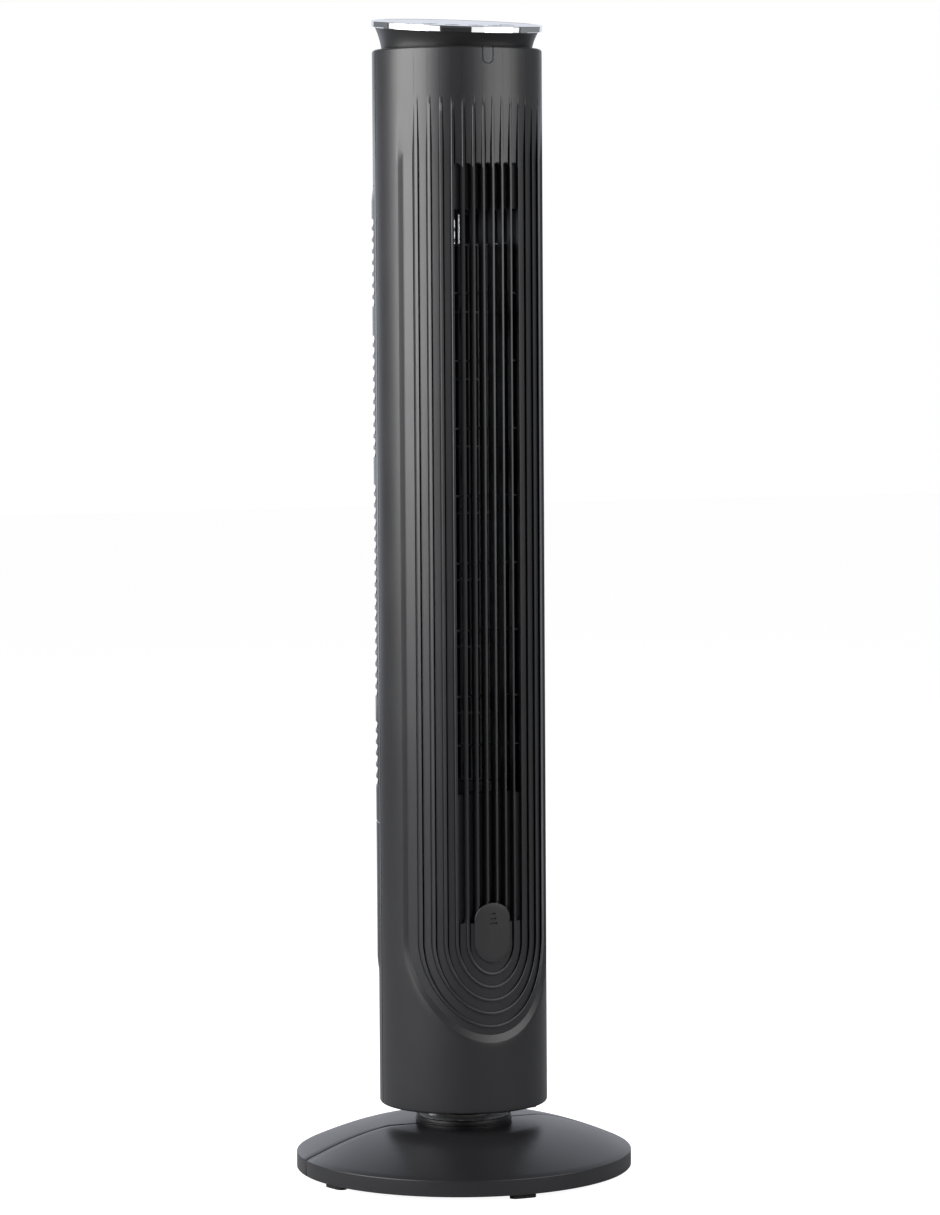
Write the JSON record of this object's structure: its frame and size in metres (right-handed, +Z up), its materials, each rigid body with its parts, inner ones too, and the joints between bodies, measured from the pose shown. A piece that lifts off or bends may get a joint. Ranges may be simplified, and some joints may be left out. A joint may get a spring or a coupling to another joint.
{
  "type": "tower fan",
  "caption": "Round-column tower fan with a grooved front air outlet, rear vent grille, tilted round control panel and a domed base on which the column swivels.",
  "frame": {"origin": "on the floor under the middle of the base, on the column's axis", "axes": "+Z up along the column, front and air outlet towards -Y"},
  "size_m": [0.3, 0.3, 1.0299],
  "materials": {
    "black_shell": "satin moulded ABS with a fine spark-eroded texture",
    "black_base": "satin moulded ABS, slightly smoother than the column",
    "inner_plastic": "plain black moulded plastic",
    "gloss_panel": "piano black, polished",
    "chrome_trim": "bright plated ring",
    "smoked_window": "smoked transparent plastic",
    "ir_red": "dark red infrared filter",
    "rubber": "black rubber",
    "pom_white": "natural acetal",
    "zinc_steel": "zinc plated steel",
    "shaft_steel": "ground steel",
    "motor_steel": "laminated electrical steel",
    "bronze": "sintered bronze",
    "copper_wire": "enamelled copper wire",
    "circuit_board": "green solder mask",
    "component_plastic": "moulded component cases",
    "capacitor_case": "light grey capacitor case",
    "lead_insulation": "red PVC insulation",
    "ribbon_grey": "grey PVC ribbon cable"
  },
  "bodies": {
    "base": {"base_front": "black_base", "base_rear": "black_base", "feet": "rubber", "neck": "black_base", "neck_screws": "zinc_steel", "thrust_plate": "zinc_steel", "thrust_washer": "pom_white", "sun_gear": "pom_white", "retaining_ring": "zinc_steel"},
    "column": {"column_floor": "inner_plastic", "pivot_bush": "pom_white", "floor_screws": "zinc_steel", "osc_motor": "zinc_steel", "osc_screws": "zinc_steel", "front_shell": "black_shell", "rear_shell": "black_shell", "rear_grille": "black_shell", "shell_screws": "zinc_steel", "badge": "black_shell", "ir_window": "ir_red", "ir_board": "circuit_board", "grille_brace": "inner_plastic", "blank_top": "inner_plastic", "blank_bottom": "inner_plastic", "cord_gland": "rubber", "duct_bottom": "inner_plastic", "duct_top": "inner_plastic", "scroll_wall": "inner_plastic", "vortex_tongue": "inner_plastic", "upper_bearing": "bronze", "bearing_rubber": "rubber", "motor_bracket": "zinc_steel", "motor_bumpers": "rubber", "motor_top_bell": "zinc_steel", "motor_bottom_bell": "zinc_steel", "motor_stator": "motor_steel", "motor_coils": "copper_wire", "motor_bushes": "bronze", "motor_lead": "lead_insulation", "main_board": "circuit_board", "board_parts": "component_plastic", "capacitor": "capacitor_case", "panel_ribbon": "ribbon_grey", "cap_neck": "black_base", "cap_screws": "zinc_steel", "chrome_ring": "chrome_trim", "control_panel": "gloss_panel", "display_window": "smoked_window", "key_board": "circuit_board"},
    "impeller": {"impeller_drum": "inner_plastic", "impeller_hub": "rubber", "top_stub": "shaft_steel", "motor_shaft": "shaft_steel", "motor_rotor": "motor_steel"},
    "pinion": {"drive_pinion": "pom_white"},
    "button_power": {"button_power": "gloss_panel"},
    "button_speed": {"button_speed": "gloss_panel"},
    "button_mode": {"button_mode": "gloss_panel"},
    "button_timer": {"button_timer": "gloss_panel"},
    "button_oscillate": {"button_oscillate": "gloss_panel"}
  },
  "joints": [
    {"name": "column_swivel", "type": "hinge", "parent": "base", "child": "column", "pos_m": [0, 0, 0.062], "axis": [0, 0, 1], "range_deg": [-40, 40]},
    {"name": "pinion_spin", "type": "hinge", "parent": "column", "child": "pinion", "pos_m": [0, 0.03825, 0.0865], "axis": [0, 0, 1], "range_deg": [-100, 100]},
    {"name": "impeller_spin", "type": "hinge", "parent": "column", "child": "impeller", "pos_m": [0, 0, 0.5], "axis": [0, 0, 1], "continuous": true},
    {"name": "power_press", "type": "slide", "parent": "column", "child": "button_power", "axis": [0, 0.1045, -0.9945], "range_m": [0, 0.0008], "stiffness_N_per_m": 400},
    {"name": "speed_press", "type": "slide", "parent": "column", "child": "button_speed", "axis": [0, 0.1045, -0.9945], "range_m": [0, 0.0008], "stiffness_N_per_m": 400},
    {"name": "mode_press", "type": "slide", "parent": "column", "child": "button_mode", "axis": [0, 0.1045, -0.9945], "range_m": [0, 0.0008], "stiffness_N_per_m": 400},
    {"name": "timer_press", "type": "slide", "parent": "column", "child": "button_timer", "axis": [0, 0.1045, -0.9945], "range_m": [0, 0.0008], "stiffness_N_per_m": 400},
    {"name": "oscillate_press", "type": "slide", "parent": "column", "child": "button_oscillate", "axis": [0, 0.1045, -0.9945], "range_m": [0, 0.0008], "stiffness_N_per_m": 400}
  ],
  "couplings": [
    {"joint": "pinion_spin", "follows": "column_swivel", "ratio": 2.4}
  ]
}
